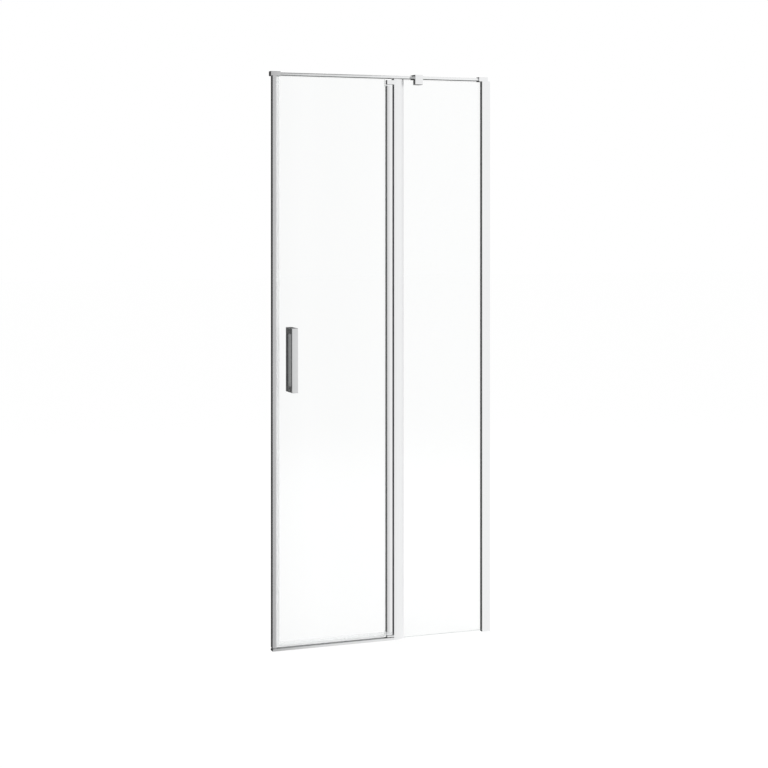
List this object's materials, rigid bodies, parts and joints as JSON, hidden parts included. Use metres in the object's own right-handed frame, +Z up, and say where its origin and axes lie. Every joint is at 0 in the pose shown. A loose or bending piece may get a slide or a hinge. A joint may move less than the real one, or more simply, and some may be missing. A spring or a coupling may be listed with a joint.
{
  "type": "shower door",
  "caption": "Pivoting glass shower door for a niche: the leaf swings outwards on pins beside a fixed glass panel, and a top rail ties both walls together.",
  "frame": {"origin": "on the tray, in the middle of the niche's width and in the middle of the glass", "axes": "+X from the left wall to the right wall, +Y from the room into the shower, +Z up"},
  "size_m": [0.8, 0.072, 1.95],
  "materials": {
    "bright_aluminium": "polished and bright anodised",
    "chrome": "polished",
    "clear_glass": "clear, polished edges",
    "clear_seal": "clear flexible extrusion",
    "glazing_strip": "soft grey strip",
    "magnet": "pale flexible strip",
    "white_plastic": "pale moulded plastic",
    "grey_plastic": "silver grey moulded plastic",
    "steel": "stainless"
  },
  "bodies": {
    "frame": {"wall_channel_left": "bright_aluminium", "strike_profile": "bright_aluminium", "strike_magnet_strip": "magnet", "strike_profile_cap": "chrome", "strike_screws": "steel", "wall_channel_right": "bright_aluminium", "wall_profile": "bright_aluminium", "wall_profile_cap": "chrome", "wall_profile_screws": "steel", "wall_glazing_strips": "glazing_strip", "fixed_glass": "clear_glass", "setting_blocks": "clear_seal", "hinge_post": "bright_aluminium", "post_top_cap": "chrome", "post_bottom_cap": "chrome", "post_glazing_strips": "glazing_strip", "hinge_gap_seal": "glazing_strip", "bottom_pivot_block": "chrome", "top_pivot_block": "chrome", "bottom_pivot_pin": "steel", "top_pivot_pin": "steel", "pivot_block_screws": "steel", "threshold_bar": "bright_aluminium", "threshold_end_block": "chrome", "rail": "bright_aluminium", "rail_end_block_left": "chrome", "rail_end_block_right": "chrome", "rail_grub_screws": "steel", "rail_clamp_body": "chrome", "rail_clamp_plate": "chrome", "rail_clamp_pads": "glazing_strip", "rail_clamp_screw": "steel"},
    "leaf": {"leaf_glass": "clear_glass", "leaf_profile": "bright_aluminium", "leaf_glazing_strips": "glazing_strip", "leaf_profile_bottom_cap": "grey_plastic", "leaf_profile_top_cap": "grey_plastic", "bottom_pivot_bush": "white_plastic", "top_pivot_bush": "white_plastic", "leaf_magnet_seal": "clear_seal", "leaf_magnet_strip": "magnet", "drip_seal": "clear_seal", "outer_handle": "chrome", "inner_handle": "chrome", "handle_gaskets": "clear_seal", "handle_sleeves": "white_plastic", "handle_studs": "steel", "handle_grub_screws": "steel"}
  },
  "joints": [
    {"name": "leaf_swing", "type": "hinge", "parent": "frame", "child": "leaf", "pos_m": [0.0211, -0.01195, 0], "axis": [0, 0, 1], "range_deg": [0, 100]}
  ]
}
